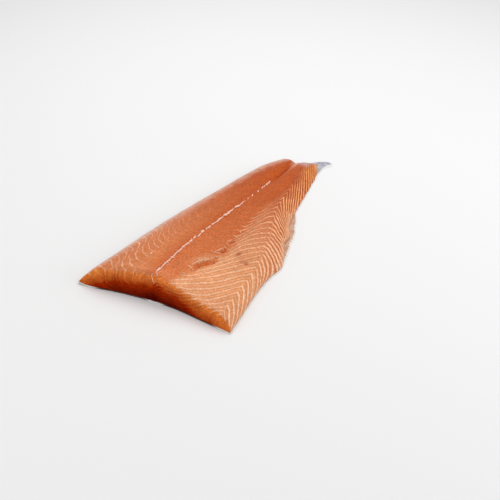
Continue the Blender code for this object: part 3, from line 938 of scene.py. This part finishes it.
def pin_strand(start, end, aside_start, aside_end, half_width, number, widen):
    """A strand of the line of pin bones: beside its path by an even change from one end to the other."""
    t = np.linspace(0, 1, max(int(4 * (end - start)), 12))
    place = t * (end - start)
    x = start + place
    waver = 0.30 * waves(x, 1.9, 61) + 0.16 * waves(x, 0.8, 62)
    y = along(PIN_PATH_MM, x) + aside_start + (aside_end - aside_start) * t + waver
    uneven = 0.80 + 0.38 * waves(place, 1.9, 170 + number) + 0.2 * waves(place, 0.8, 63)
    size = widen * half_width * np.sin(np.pi * t) ** 0.4 * uneven
    return strand(x, y, 0.06 + size, 0.08 + 0.7 * size)


def barb(at, above, below, lean, widen):
    """A short strand across the line of pin bones, thicker where it meets it and leaning along it."""
    t = np.linspace(-1, 1, 18)
    x = at + 0.5 * lean * t
    y = along(PIN_PATH_MM, x) + np.where(t > 0, above, below) * t
    size = widen * (0.18 + 0.60 * bell(t, 0.45))
    return strand(x, y, size, 0.8 * size)


def thread(points, half_width, number):
    """A pale torn edge along points: a strand that wavers a little and thickens and thins."""
    points = np.array(points, float)
    knots = np.linspace(0, 1, len(points))
    length = np.hypot(*np.diff(points, axis=0).T).sum()
    t = np.linspace(0, 1, max(int(length * 4), 12))
    place = t * length
    side = 0.55 * waves(place, 1.7, 80 + number) + 0.25 * waves(place, 0.7, 110 + number)
    x = spline(knots, points[:, 0], t) + 0.4 * side
    y = spline(knots, points[:, 1], t) + side
    size = np.sin(np.pi * t) ** 0.5 * (0.75 + 0.45 * waves(place, 1.3, 140 + number))
    return strand(x, y, half_width * size + 0.05, 0.45 * size + 0.1)


def joined(strands):
    """One (points, faces) of several."""
    points, faces, start = [], [], 0
    for more, their in strands:
        points.append(more)
        faces += [[i + start for i in face] for face in their]
        start += len(more)
    return np.concatenate(points), faces


class Graph:
    """Short calls for the nodes of one material; a value is a number, a colour or another node's output."""

    def __init__(self, name):
        self.material = bpy.data.materials.new(name)
        self.material.use_nodes = True
        self.tree = self.material.node_tree
        self.shader = self.tree.nodes["Principled BSDF"]

    def put(self, socket, value):
        """Link another node's output to the socket, or set its number, vector or colour."""
        if isinstance(value, bpy.types.NodeSocket):
            self.tree.links.new(value, socket)
        elif isinstance(value, (int, float)):
            socket.default_value = value
        else:
            socket.default_value = (*value, 1.0)[: len(socket.default_value)]

    def fill(self, node, inputs):
        """Put each value into the node's input of that name, in which _ stands for a space."""
        for key, value in inputs.items():
            self.put(node.inputs[key.replace("_", " ")], value)

    def node(self, kind, *values, settings=(), **inputs):
        """A new node with (name, value) settings, values for its first inputs, and others by name."""
        made = self.tree.nodes.new("ShaderNode" + kind)
        for key, value in settings:
            setattr(made, key, value)
        for socket, value in zip(made.inputs, values):
            self.put(socket, value)
        self.fill(made, inputs)
        return made

    def field(self, name):
        return self.node("Attribute", settings=[("attribute_name", name)]).outputs["Fac"]

    def math(self, operation, *values, clamp=False):
        settings = [("operation", operation), ("use_clamp", clamp)]
        return self.node("Math", *values, settings=settings).outputs[0]

    def plus(self, first, second):
        return self.math("ADD", first, second)

    def times(self, first, second, clamp=False):
        return self.math("MULTIPLY", first, second, clamp=clamp)

    def scaled(self, value, factor, offset, clamp=False):
        """The value times the factor, plus the offset."""
        return self.math("MULTIPLY_ADD", value, factor, offset, clamp=clamp)

    def ease(self, value, low, high, start=0.0, end=1.0):
        """From start at low to end at high, eased between."""
        settings = [("interpolation_type", "SMOOTHSTEP")]
        return self.node("MapRange", value, low, high, start, end, settings=settings).outputs[0]

    def mix(self, share, first, second, blend="MIX"):
        settings = [("data_type", "RGBA"), ("blend_type", blend), ("clamp_factor", True)]
        made = self.node("Mix", share, settings=settings)
        self.put(made.inputs[6], first)
        self.put(made.inputs[7], second)
        return made.outputs[2]

    def tinted(self, base, colours, tints):
        """The base with each (field, share, colour name) mixed over it in turn."""
        for field, share, name in tints:
            base = self.mix(self.times(self.field(field), share), base, getattr(colours, name))
        return base

    def place(self):
        return self.node("TexCoord").outputs["Object"]

    def noise(self, scale, detail=2.0, roughness=0.5, place=None):
        """Noise read at a place, or else at the place on the object."""
        place = place or self.place()
        return self.node(
            "TexNoise", Scale=scale, Detail=detail, Roughness=roughness, Vector=place
        ).outputs["Fac"]

    def streaks(self, per_line, per_mm):
        """Fine streaks along the fat lines: noise read at the line count and the place across it."""
        count = self.times(self.field("line_phase"), per_line)
        across = self.times(self.field("below_middle"), per_mm)
        return self.noise(1.0, 3.0, 0.6, self.node("CombineXYZ", count, across).outputs[0])

    def bump(self, height, distance, strength, under=None):
        made = self.node("Bump", Height=height, Distance=distance, Strength=strength)
        if under:
            self.put(made.inputs["Normal"], under)
        return made.outputs[0]

    def finish(self, **inputs):
        """Put the values into the shader and hand over the material."""
        self.fill(self.shader, inputs)
        return self.material


def line_nodes(g):
    """(line, deeper tone beside it, breaks) of the fat lines, each from 0 to 1.

    The distance from a line is its count, moved by a waver and folded at the halves. A line is full up
    to a share of its width and fades out beyond. Arms have a count of their own, and half lines lie
    between the others.
    """
    fine, dense, arms, halves = (g.field(name) for name in ("fine", "dense", "arms", "half_lines"))
    waver = g.plus(g.scaled(g.noise(90, 3), 0.22, -0.11), g.scaled(g.noise(500), 0.12, -0.06))
    waver = g.plus(waver, g.times(g.scaled(g.noise(230), 0.60, -0.30), fine))
    count = g.plus(g.field("line_phase"), waver)
    apart = g.math("PINGPONG", count, 0.5)
    arm_apart = g.math("PINGPONG", g.plus(g.field("arm_count"), waver), 0.5)
    between = g.math("PINGPONG", g.plus(count, 0.5), 0.5)
    width = g.scaled(g.ease(g.field("rim"), 0.0, 0.4), 0.06, g.scaled(g.noise(130), 0.16, 0.060))
    width = g.times(width, g.scaled(fine, -0.46, 1.0))
    width = g.times(g.scaled(dense, 0.03, width), g.scaled(halves, -0.42, 1.0))
    outer, plateau = g.scaled(dense, -0.15, 1.6), g.times(dense, 0.35)
    line = g.ease(g.math("DIVIDE", apart, width), outer, plateau)
    arm_line = g.ease(g.math("DIVIDE", arm_apart, width), outer, plateau)
    line = g.scaled(arm_line, arms, g.times(line, g.math("SUBTRACT", 1.0, arms)))
    half_line = g.ease(g.math("DIVIDE", between, g.times(width, 0.9)), 1.6, 0.0)
    line = g.math("MAXIMUM", line, g.times(half_line, halves))
    beside = g.ease(g.math("ABSOLUTE", g.math("SUBTRACT", apart, 0.24)), 0.16, 0.02)
    broken = g.ease(g.noise(200, 3), 0.28, 0.50, 0.40, 1.0)
    return line, beside, g.math("MAXIMUM", broken, g.times(dense, 0.92))


def top_colour(g, colours, line_on, beside, streak):
    """(colour, fat line's colour) of the top: deep orange along the middle, paler and striped below it."""
    fine, dense, striped, tailward = (g.field(name) for name in ("fine", "dense", "striped", "tailward"))
    middle, belly, fat, shadow = (
        g.mix(tailward, getattr(colours, name), getattr(colours, name + "_tail"))
        for name in ("middle", "belly", "fat_line", "line_shadow")
    )
    top = g.mix(striped, middle, belly)
    top = g.mix(g.times(fine, g.scaled(tailward, -0.28, 0.28)), top, belly)
    blushed = g.mix(0.35, top, colours.blush)
    top = g.mix(g.ease(g.noise(12, 1), 0.35, 0.7, 0.0, 0.4), top, blushed)
    deep = g.times(beside, g.times(striped, 0.40))
    deep = g.scaled(dense, g.scaled(tailward, 0.20, 0.22), deep)
    top = g.mix(g.scaled(g.field("rim"), 0.35, deep, clamp=True), top, shadow)
    streaky = g.scaled(dense, -0.8, 1.0)
    top = g.mix(g.times(streaky, g.ease(streak, 0.35, 0.75, 0.0, 0.42)), top, shadow)
    top = g.mix(g.times(streaky, g.ease(streak, 0.58, 0.78, 0.0, 0.35)), top, fat)
    top = g.mix(line_on, g.tinted(top, colours, TOP_TINTS), fat)
    return g.tinted(top, colours, [("bruise", 0.95, "bruise")]), fat


def cut_colour(g, colours, ring):
    """Colour of the cut face: light at its upper edge, darker by depth and at the seam, with its rings.

    The darkening is partly the cut flesh's deeper colour and partly painted shade.
    """
    dark = g.field("cut_dark")
    cut = g.mix(g.times(dark, 2.0, clamp=True), colours.cut_light, colours.cut_middle)
    cut = g.mix(g.scaled(dark, 2.0, -1.0, clamp=True), cut, colours.cut_foot)
    cut = g.mix(g.scaled(dark, 4.0, -4.0, clamp=True), cut, colours.cut_seam)
    cut = g.tinted(cut, colours, [("cut_tip", 0.6, "cut_tip")])
    deeper = g.ease(g.field("cut_foot"), 0.08, 0.50)
    return g.mix(ring, cut, g.mix(deeper, colours.cut_line, colours.cut_line_deep))


def flesh_material(colours, name, gloss):
    """Moist raw salmon. Its fields tell the top from the cut face, which is given a gloss of its own."""
    g = Graph(name)
    line, beside, broken = line_nodes(g)
    line_on = g.times(g.times(line, g.field("line_strength")), broken)
    ring = g.times(g.times(line, g.field("ring")), broken)
    streak = g.streaks(5.0, 0.10)
    top, fat = top_colour(g, colours, line_on, beside, streak)
    surface = g.mix(g.field("cut"), top, cut_colour(g, colours, ring))
    surface = g.tinted(surface, colours, TEAR_TINTS)
    surface = g.mix(g.times(g.field("lip"), 0.45), surface, fat)

    mottle = g.noise(120, 4, 0.6)
    grain = g.noise(620, 3, 0.8)
    light = g.scaled(mottle, 0.40, 0.80)
    light = g.times(light, g.scaled(g.math("SUBTRACT", grain, 0.5), 1.8, 1.0))
    light = g.times(light, g.scaled(g.noise(18), 0.20, 0.90))
    tint = g.node("CombineColor", *(g.math("POWER", light, power) for power in MOTTLE_POWERS))
    surface = g.mix(1.0, surface, tint.outputs[0], "MULTIPLY")
    # Painted glints: small pale dots where the fine grain is high, off the cut face
    painted_glints = g.times(g.ease(grain, 0.56, 0.70), g.ease(g.field("cut"), 1.0, 0.0, 0.0, 0.20))
    normal = g.bump(line_on, 0.00018, 0.7)
    normal = g.bump(streak, 0.00030, 0.5, normal)
    return g.finish(
        Base_Color=g.mix(painted_glints, surface, colours.fat_line_tail),
        Roughness=g.scaled(mottle, 0.22, 0.28),
        Normal=g.bump(grain, 0.00025, 0.5, normal),
        Subsurface_Weight=0.10,
        Subsurface_Radius=(0.9, 0.35, 0.2),
        Subsurface_Scale=0.0015,
        Specular_IOR_Level=gloss,
    )


def skin_material(colours):
    """Fish skin: silver with scales and dark spots outside, pinkish film inside and where it is thin.

    Its edge under the cut face is painted dark as shade, with pale torn bits.
    """
    g = Graph("salmon_skin")
    back = g.field("toward_back")
    scales = g.node("TexVoronoi", Scale=340, Vector=g.place())
    edge = g.ease(scales.outputs["Distance"], 0.25, 0.75)
    silver = g.mix(g.ease(back, 0.35, 0.9), colours.skin_silver, colours.skin_back)
    silver = g.mix(g.times(edge, 0.4), silver, (0.08, 0.085, 0.09))
    spots = g.ease(g.noise(75, 1), 0.66, 0.72)
    silver = g.mix(g.times(spots, g.ease(back, 0.45, 0.7)), silver, (0.03, 0.03, 0.035))
    film = g.mix(g.ease(g.noise(150, 3), 0.35, 0.65), colours.film_pink, colours.film)
    tail = g.mix(g.ease(g.noise(260, 3), 0.40, 0.62), colours.film_grey, colours.film_dark)
    film = g.mix(g.field("tail_skin"), film, tail)
    film = g.mix(g.ease(g.field("free_edge"), 0.75, 0.15, 0.0, 0.95), film, colours.film_edge)
    front = g.mix(g.field("front_pale"), colours.front_edge, colours.film_edge)
    film = g.mix(g.field("front_edge"), film, front)
    normal = g.bump(edge, 0.0001, 0.4)
    return g.finish(
        Base_Color=g.mix(g.ease(g.field("outer_side"), 0.6, 0.9), film, silver),
        Roughness=g.scaled(g.noise(90), 0.2, 0.28),
        Normal=g.bump(g.noise(300, 3), 0.0003, 0.5, normal),
        Subsurface_Weight=0.1,
        Subsurface_Radius=(0.6, 0.5, 0.4),
        Subsurface_Scale=0.002,
    )


def strand_material(name, pale, pink):
    """Pale connective tissue, wet and slightly see-through at its thin edges."""
    g = Graph(name)
    tone = g.noise(500, 3)
    return g.finish(
        Base_Color=g.mix(g.ease(tone, 0.35, 0.65), pale, pink),
        Roughness=g.scaled(tone, 0.15, 0.3),
        Normal=g.bump(tone, 0.0002, 0.5),
        Subsurface_Weight=0.25,
        Subsurface_Radius=(0.9, 0.6, 0.5),
        Subsurface_Scale=0.002,
    )


def colour(name, description, code):
    return FloatVectorProperty(
        name=name, description=description, default=linear(code), size=3, subtype="COLOR", min=0, max=1
    )


def length_property(name, description, default):
    return FloatProperty(
        name=name, description=description, default=default, min=0, subtype="DISTANCE", unit="LENGTH"
    )


class FilletSizes(bpy.types.PropertyGroup):
    flake_step: length_property("Flake step", "Height of the steps between the flakes", 0.00034)
    tear_depth: length_property("Tear depth", "Depth of the deepest tear", 0.003)
    nick: length_property("Nicks", "Depth of the nicks in the belly edge near the tail", 0.0008)
    fraying: length_property("Fraying", "Reach of the frayed edge of the bare skin", 0.0007)
    strand_width: FloatProperty(
        name="Strand width", description="Factor for the pin bone strands' width", default=1.6, min=0.3, max=2
    )


class FilletColours(bpy.types.PropertyGroup):
    middle: colour("Middle", "Smooth flesh along the middle, at the cut end", "D06C30")
    middle_tail: colour("Middle, tail", "Smooth flesh along the middle, at the tail", "BA500E")
    belly: colour("Belly", "Striped flesh between its fat lines, at the cut end", "E8A472")
    belly_tail: colour("Belly, tail", "Striped flesh between its fat lines, at the tail", "AE4A18")
    blush: colour("Blush", "Pinker patches of the flesh", "D86E44")
    fat_line: colour("Fat line", "The pale lines between the flakes, at the cut end", "FFD2AE")
    fat_line_tail: colour("Fat line, tail", "The pale lines at the tail", "FAAA6A")
    line_shadow: colour("Beside the lines", "Deeper orange beside the fat lines", "CC6628")
    line_shadow_tail: colour("Beside the lines, tail", "The same at the tail", "A84412")
    # Partly the greyish film and partly a painted sheen along the back silhouette
    back_film: colour("Back film", "Greyish pink film along the back edge", "E0B4A0")
    tail_film: colour("Tail film", "Greyish film over the end of the tail", "C8B2B0")
    membrane: colour("Membrane", "Pale film at the belly edge", "DEAA88")
    # Deep orange; along the pin bone line towards the tail it also stands for painted shade on the slope into
    # the groove
    deep: colour("Deep orange", "Along the back side of the pin bone line", "BC5008")
    reddish: colour("Reddish", "Redder flesh close to the pin bone line", "C45228")
    groove: colour("Groove", "Inside the groove at the tail", "A84206")
    # The groove's pale lip, partly pale film and partly painted light on its lit edge
    groove_lip: colour("Groove lip", "Pale side of the groove at the tail", "F0A07C")
    # Paler flesh beside the cut with a painted highlight along the edge
    edge_light: colour("Beside the cut", "Paler flesh along the edge of the cut face", "EEB088")
    golden: colour("Golden", "Golden flesh at the tail's belly side", "DC8A30")
    bruise: colour("Bruise", "Reddish spots on the belly", "A8421A")
    cut_light: colour("Cut, edge", "The cut face near its upper edge", "E47C34")
    # The cut face's colours grow darker downwards: partly the cut flesh's deeper colour, partly painted shade
    # towards the skin and the seam
    cut_middle: colour("Cut, middle", "The cut face halfway down", "962200")
    cut_foot: colour("Cut, foot", "The cut face near the skin", "620A00")
    cut_seam: colour("Cut, seam", "The deepest places under the middle line", "460000")
    cut_tip: colour("Cut, tip", "The thin tip of the cut face", "D8803A")
    cut_line: colour("Cut line", "The rings on the cut face", "F6AE70")
    # The deeper rings carry the same painted shade
    cut_line_deep: colour("Cut line, deep", "The rings deeper in the cut face", "CE6018")
    torn: colour("Torn wall", "Inside of the tears", "DA7038")
    # Painted shade in the crease at the foot of the tears
    crack: colour("Crack", "The dark foot of the tears", "7A2C06")
    torn_edge: colour("Torn edge", "Pale threads at the tears", "F4BE94")
    skin_silver: colour("Skin", "Outer side of the skin at the belly", "B9BCC0")
    skin_back: colour("Skin, back", "Outer side of the skin at the back", "4E555C")
    film: colour("Film", "Inner side of the bare skin", "D3A98F")
    film_pink: colour("Film, pink", "Pinker places of the bare skin", "C48C6B")
    film_edge: colour("Film edge", "The frayed edge of the bare skin", "F4F2EE")
    # Painted shade on the skin's edge under the cut face
    front_edge: colour("Skin, cut edge", "The edge of the skin under the cut face", "4A2414")
    film_grey: colour("Film, tail", "The bare skin at the tail", "C4C2CC")
    film_dark: colour("Film, tail spots", "Darker places of the bare skin at the tail", "9A9CAC")
    tissue: colour("Tissue", "Strands of the pin bone line", "FFDAC6")
    tissue_pink: colour("Tissue, pink", "Pinker places of those strands", "F8B098")


def power_property(name, description, default):
    return FloatProperty(name=name, description=description, default=default, min=0, unit="POWER")


class StageSettings(bpy.types.PropertyGroup):
    floor_colour: colour("Floor", "The plain pale floor", "F4F4F4")
    key_power: power_property("Key light", "Power of the large light above", 7.0)
    side_power: power_property("Belly light", "Power of the light on the belly side", 4.0)
    front_power: power_property("Cut light", "Power of the light on the cut face", 3.0)
    fill: FloatProperty(name="Fill", description="Strength of the light from all round", default=0.45, min=0)


class FILLET_OT_flesh(bpy.types.Operator):
    """Make the flesh with its fat lines, tears and cut face"""

    bl_idname = "fillet.flesh"
    bl_label = "Flesh"

    def execute(self, context):
        points, faces, fields = flesh_surface(context.scene.fillet_sizes)
        colours = context.scene.fillet_colours
        top = flesh_material(colours, "salmon_flesh", TOP_GLOSS)
        face = flesh_material(colours, "salmon_cut", CUT_GLOSS)
        made = piece("salmon_flesh", points, faces, fields, [top, face], "flesh")
        on_cut = np.array([fields["cut"][corners[0]] > 0.5 for corners in faces], np.int32)
        made.data.polygons.foreach_set("material_index", on_cut)
        return {"FINISHED"}


class FILLET_OT_skin(bpy.types.Operator):
    """Make the thin skin under the flesh"""

    bl_idname = "fillet.skin"
    bl_label = "Skin"

    def execute(self, context):
        points, faces, fields = skin_surface(context.scene.fillet_sizes)
        material = skin_material(context.scene.fillet_colours)
        piece("salmon_skin", points, faces, fields, [material], "skin")
        return {"FINISHED"}


class FILLET_OT_pin_line(bpy.types.Operator):
    """Make the broken line of pin bone tissue along the middle, with its barbs and the pale torn edges"""

    bl_idname = "fillet.pin_line"
    bl_label = "Pin bone line"

    def execute(self, context):
        colours = context.scene.fillet_colours
        widen = context.scene.fillet_sizes.strand_width
        strands = [pin_strand(*given, number, widen) for number, given in enumerate(PIN_STRANDS_MM)]
        strands += [barb(*given, widen) for given in BARBS_MM]
        points, faces = joined(strands)
        tissue = strand_material("pin_bone_tissue", colours.tissue, colours.tissue_pink)
        piece("pin_bone_line", points, faces, {}, [tissue], None)
        threads = [thread(*given, number) for number, given in enumerate(THREADS_MM)]
        points, faces = joined(threads)
        edge = strand_material("torn_edge", colours.torn_edge, colours.fat_line)
        piece("torn_edges", points, faces, {}, [edge], None)
        return {"FINISHED"}


class FILLET_OT_stage(bpy.types.Operator):
    """Make the floor, the lights and the camera"""

    bl_idname = "fillet.stage"
    bl_label = "Stage"

    def execute(self, context):
        scene = context.scene
        settings = scene.fillet_stage
        mesh = bpy.data.meshes.new("floor")
        size = FLOOR_HALF_WIDTH
        corners = [(-size, -size, 0), (size, -size, 0), (size, size, 0), (-size, size, 0)]
        mesh.from_pydata(corners, [], [(0, 1, 2, 3)])
        paint = Graph("floor_paint")
        mesh.materials.append(
            paint.finish(Base_Color=settings.floor_colour, Roughness=0.9, Specular_IOR_Level=0.1)
        )
        floor = bpy.data.objects.new("floor", mesh)
        scene.collection.objects.link(floor)

        world = bpy.data.worlds.new("studio")
        world.use_nodes = True
        background = world.node_tree.nodes["Background"]
        background.inputs["Color"].default_value = (1, 1, 1, 1)
        background.inputs["Strength"].default_value = settings.fill
        scene.world = world
        for name, place, size, power in LAMPS:
            light = bpy.data.lights.new(name, "AREA")
            light.size = size
            light.energy = getattr(settings, power)
            lamp = bpy.data.objects.new(name, light)
            lamp.location = place
            lamp.rotation_euler = (-Vector(place)).to_track_quat("-Z", "Y").to_euler()
            scene.collection.objects.link(lamp)
        scene.view_settings.view_transform = "Standard"
        scene.view_settings.look = "None"

        camera = bpy.data.cameras.new("camera")
        camera.sensor_width = SENSOR_MM
        camera.lens = LENS_MM
        camera.clip_start, camera.clip_end = 0.01, 50
        right, up = Vector(CAMERA_RIGHT), Vector(CAMERA_UP)
        turn = Matrix((right, up, right.cross(up))).transposed().to_4x4()
        holder = bpy.data.objects.new("camera", camera)
        holder.matrix_world = Matrix.Translation(CAMERA_PLACE) @ turn
        scene.collection.objects.link(holder)
        scene.camera = holder
        return {"FINISHED"}


class FILLET_PT_panel(bpy.types.Panel):
    bl_label = "Fillet"
    bl_idname = "FILLET_PT_panel"
    bl_space_type = "VIEW_3D"
    bl_region_type = "UI"
    bl_category = "Fillet"

    def draw(self, context):
        for kind in (FILLET_OT_flesh, FILLET_OT_skin, FILLET_OT_pin_line, FILLET_OT_stage):
            self.layout.operator(kind.bl_idname)
        scene = context.scene
        for group in (scene.fillet_sizes, scene.fillet_colours, scene.fillet_stage):
            for name in group.bl_rna.properties.keys():
                if name not in ("rna_type", "name"):
                    self.layout.prop(group, name)


CLASSES = (
    FilletSizes,
    FilletColours,
    StageSettings,
    FILLET_OT_flesh,
    FILLET_OT_skin,
    FILLET_OT_pin_line,
    FILLET_OT_stage,
    FILLET_PT_panel,
)


def register():
    for kind in CLASSES:
        bpy.utils.register_class(kind)
    bpy.types.Scene.fillet_sizes = PointerProperty(type=FilletSizes)
    bpy.types.Scene.fillet_colours = PointerProperty(type=FilletColours)
    bpy.types.Scene.fillet_stage = PointerProperty(type=StageSettings)


def unregister():
    del bpy.types.Scene.fillet_stage
    del bpy.types.Scene.fillet_colours
    del bpy.types.Scene.fillet_sizes
    for kind in reversed(CLASSES):
        bpy.utils.unregister_class(kind)


def main():
    register()
    bpy.ops.fillet.flesh()
    bpy.ops.fillet.skin()
    bpy.ops.fillet.pin_line()
    bpy.ops.fillet.stage()


if __name__ == "__main__":
    main()
